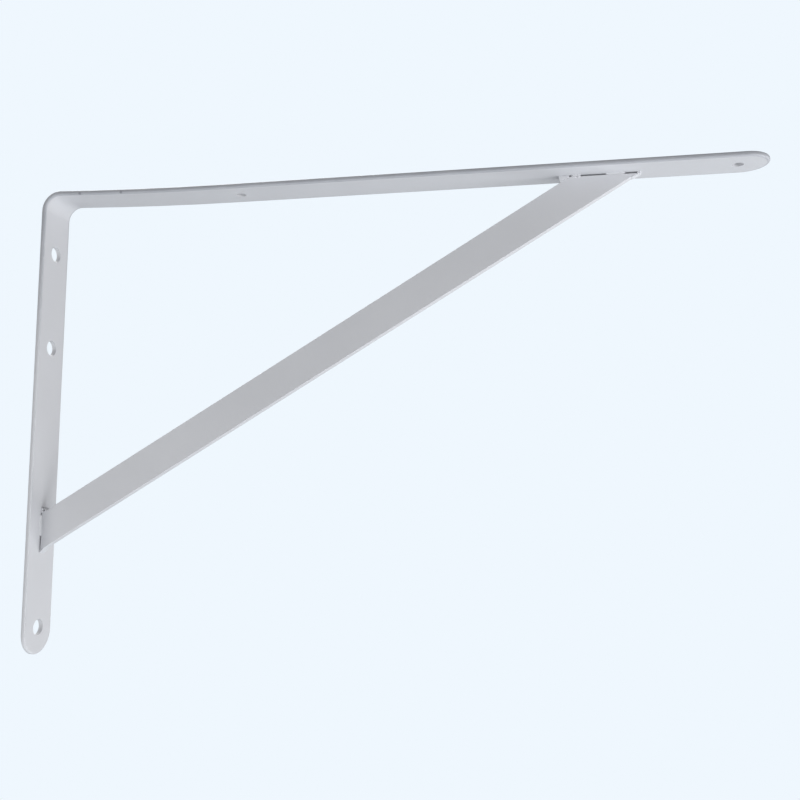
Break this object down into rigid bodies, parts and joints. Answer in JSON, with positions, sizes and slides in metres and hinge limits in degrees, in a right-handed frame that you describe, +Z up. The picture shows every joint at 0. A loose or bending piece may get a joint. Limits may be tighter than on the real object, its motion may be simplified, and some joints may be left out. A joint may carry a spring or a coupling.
{
  "type": "braced shelf bracket",
  "caption": "Right-angled shelf bracket bent from flat steel strip, with round ends, screw holes in leg and arm, and a flat-bar brace welded on edge across the corner.",
  "frame": {"origin": "centre of the top wall hole, on the wall plane (the leg's back face)", "axes": "+X out from the wall along the arm, +Y along the wall, +Z up; the shelf plane is at Z = 32 mm"},
  "size_m": [0.4, 0.025, 0.2652],
  "materials": {
    "strip_paint": "satin white powder coat",
    "brace_paint": "satin white powder coat",
    "weld_paint": "satin white powder coat over a weld bead"
  },
  "bodies": {
    "root": {"bent_strip": "strip_paint", "brace": "brace_paint", "arm_heel_weld": "weld_paint", "arm_inner_tack": "weld_paint", "arm_outer_tack": "weld_paint", "arm_toe_weld": "weld_paint", "leg_foot_weld": "weld_paint", "leg_heel_weld": "weld_paint", "leg_side_weld": "weld_paint"}
  },
  "joints": []
}
